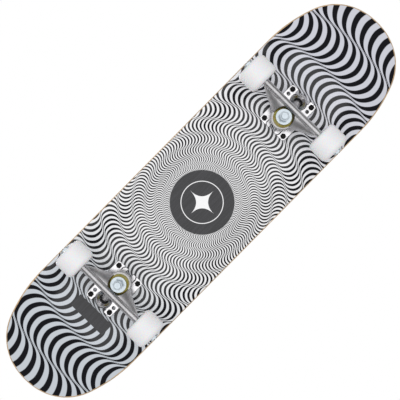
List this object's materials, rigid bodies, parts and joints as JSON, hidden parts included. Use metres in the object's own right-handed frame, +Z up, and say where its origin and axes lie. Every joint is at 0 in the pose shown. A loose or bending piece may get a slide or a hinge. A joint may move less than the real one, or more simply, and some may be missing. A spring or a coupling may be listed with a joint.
{
  "type": "skateboard",
  "caption": "Double-kick street skateboard with a laminated concave deck, griptape, two sprung steering trucks and four white urethane wheels on ball bearings.",
  "frame": {"origin": "on the ground, under the middle of the board as it stands on its four wheels", "axes": "+X along the deck towards the nose, +Y to the rider's left, +Z up"},
  "size_m": [0.8128, 0.2064, 0.1364],
  "materials": {
    "deck_maple": "laminated hard maple, oiled edge",
    "deck_graphic": "printed and lacquered underside, gloss",
    "griptape": "black silicon-carbide grit",
    "cast_aluminium": "cast and tumbled, satin",
    "zinc_steel": "zinc plated",
    "axle_steel": "ground steel",
    "black_steel": "black oxide",
    "bushing_urethane": "translucent amber urethane",
    "cup_plastic": "moulded",
    "wheel_urethane": "cast white urethane, satin",
    "bearing_steel": "polished",
    "shield_rubber": "moulded seal",
    "cage_nylon": "moulded"
  },
  "bodies": {
    "board": {"deck_ply_1": "deck_graphic", "deck_ply_2": "deck_maple", "deck_ply_3": "deck_maple", "deck_ply_4": "deck_maple", "deck_ply_5": "deck_maple", "deck_ply_6": "deck_maple", "deck_ply_7": "deck_maple", "griptape": "griptape", "front_baseplate": "cast_aluminium", "front_mounting_bolts": "black_steel", "front_mounting_nuts": "black_steel", "front_pivot_cup": "cup_plastic", "front_kingpin": "zinc_steel", "front_kingpin_nut": "zinc_steel", "front_boardside_washer": "zinc_steel", "front_roadside_washer": "zinc_steel", "front_boardside_bushing": "bushing_urethane", "front_roadside_bushing": "bushing_urethane", "rear_baseplate": "cast_aluminium", "rear_mounting_bolts": "black_steel", "rear_mounting_nuts": "black_steel", "rear_pivot_cup": "cup_plastic", "rear_kingpin": "zinc_steel", "rear_kingpin_nut": "zinc_steel", "rear_boardside_washer": "zinc_steel", "rear_roadside_washer": "zinc_steel", "rear_boardside_bushing": "bushing_urethane", "rear_roadside_bushing": "bushing_urethane"},
    "front_hanger_body": {"front_hanger": "cast_aluminium", "front_axle": "axle_steel", "front_axle_nuts": "zinc_steel", "front_speed_washers": "zinc_steel", "front_bearing_inner_rings": "bearing_steel", "front_bearing_spacers": "axle_steel"},
    "front_left_wheel_body": {"front_left_wheel": "wheel_urethane", "front_left_bearing_outer_rings": "bearing_steel", "front_left_bearing_shields": "shield_rubber"},
    "front_left_ball_set": {"front_left_bearing_balls": "bearing_steel", "front_left_bearing_cages": "cage_nylon"},
    "front_right_wheel_body": {"front_right_wheel": "wheel_urethane", "front_right_bearing_outer_rings": "bearing_steel", "front_right_bearing_shields": "shield_rubber"},
    "front_right_ball_set": {"front_right_bearing_balls": "bearing_steel", "front_right_bearing_cages": "cage_nylon"},
    "rear_hanger_body": {"rear_hanger": "cast_aluminium", "rear_axle": "axle_steel", "rear_axle_nuts": "zinc_steel", "rear_speed_washers": "zinc_steel", "rear_bearing_inner_rings": "bearing_steel", "rear_bearing_spacers": "axle_steel"},
    "rear_left_wheel_body": {"rear_left_wheel": "wheel_urethane", "rear_left_bearing_outer_rings": "bearing_steel", "rear_left_bearing_shields": "shield_rubber"},
    "rear_left_ball_set": {"rear_left_bearing_balls": "bearing_steel", "rear_left_bearing_cages": "cage_nylon"},
    "rear_right_wheel_body": {"rear_right_wheel": "wheel_urethane", "rear_right_bearing_outer_rings": "bearing_steel", "rear_right_bearing_shields": "shield_rubber"},
    "rear_right_ball_set": {"rear_right_bearing_balls": "bearing_steel", "rear_right_bearing_cages": "cage_nylon"}
  },
  "joints": [
    {"name": "front_steer", "type": "hinge", "parent": "board", "child": "front_hanger_body", "pos_m": [0.18045, 0, 0.0435], "axis": [0.8682, 0, 0.4961], "range_deg": [-15, 15], "stiffness_Nm_per_rad": 25, "deforming": ["front_boardside_bushing", "front_roadside_bushing"]},
    {"name": "front_left_spin", "type": "hinge", "parent": "front_hanger_body", "child": "front_left_wheel_body", "pos_m": [0.20105, 0.0765, 0.0265], "axis": [0, 1, 0], "continuous": true},
    {"name": "front_left_ball_spin", "type": "hinge", "parent": "front_hanger_body", "child": "front_left_ball_set", "pos_m": [0.20105, 0.0765, 0.0265], "axis": [0, 1, 0], "continuous": true},
    {"name": "front_right_spin", "type": "hinge", "parent": "front_hanger_body", "child": "front_right_wheel_body", "pos_m": [0.20105, -0.0765, 0.0265], "axis": [0, 1, 0], "continuous": true},
    {"name": "front_right_ball_spin", "type": "hinge", "parent": "front_hanger_body", "child": "front_right_ball_set", "pos_m": [0.20105, -0.0765, 0.0265], "axis": [0, 1, 0], "continuous": true},
    {"name": "rear_steer", "type": "hinge", "parent": "board", "child": "rear_hanger_body", "pos_m": [-0.18045, 0, 0.0435], "axis": [-0.8682, 0, 0.4961], "range_deg": [-15, 15], "stiffness_Nm_per_rad": 25, "deforming": ["rear_boardside_bushing", "rear_roadside_bushing"]},
    {"name": "rear_left_spin", "type": "hinge", "parent": "rear_hanger_body", "child": "rear_left_wheel_body", "pos_m": [-0.20105, 0.0765, 0.0265], "axis": [0, 1, 0], "continuous": true},
    {"name": "rear_left_ball_spin", "type": "hinge", "parent": "rear_hanger_body", "child": "rear_left_ball_set", "pos_m": [-0.20105, 0.0765, 0.0265], "axis": [0, 1, 0], "continuous": true},
    {"name": "rear_right_spin", "type": "hinge", "parent": "rear_hanger_body", "child": "rear_right_wheel_body", "pos_m": [-0.20105, -0.0765, 0.0265], "axis": [0, 1, 0], "continuous": true},
    {"name": "rear_right_ball_spin", "type": "hinge", "parent": "rear_hanger_body", "child": "rear_right_ball_set", "pos_m": [-0.20105, -0.0765, 0.0265], "axis": [0, 1, 0], "continuous": true}
  ],
  "couplings": [
    {"joint": "front_left_ball_spin", "follows": "front_left_spin", "ratio": 0.6311},
    {"joint": "front_right_ball_spin", "follows": "front_right_spin", "ratio": 0.6311},
    {"joint": "rear_left_ball_spin", "follows": "rear_left_spin", "ratio": 0.6311},
    {"joint": "rear_right_ball_spin", "follows": "rear_right_spin", "ratio": 0.6311}
  ]
}
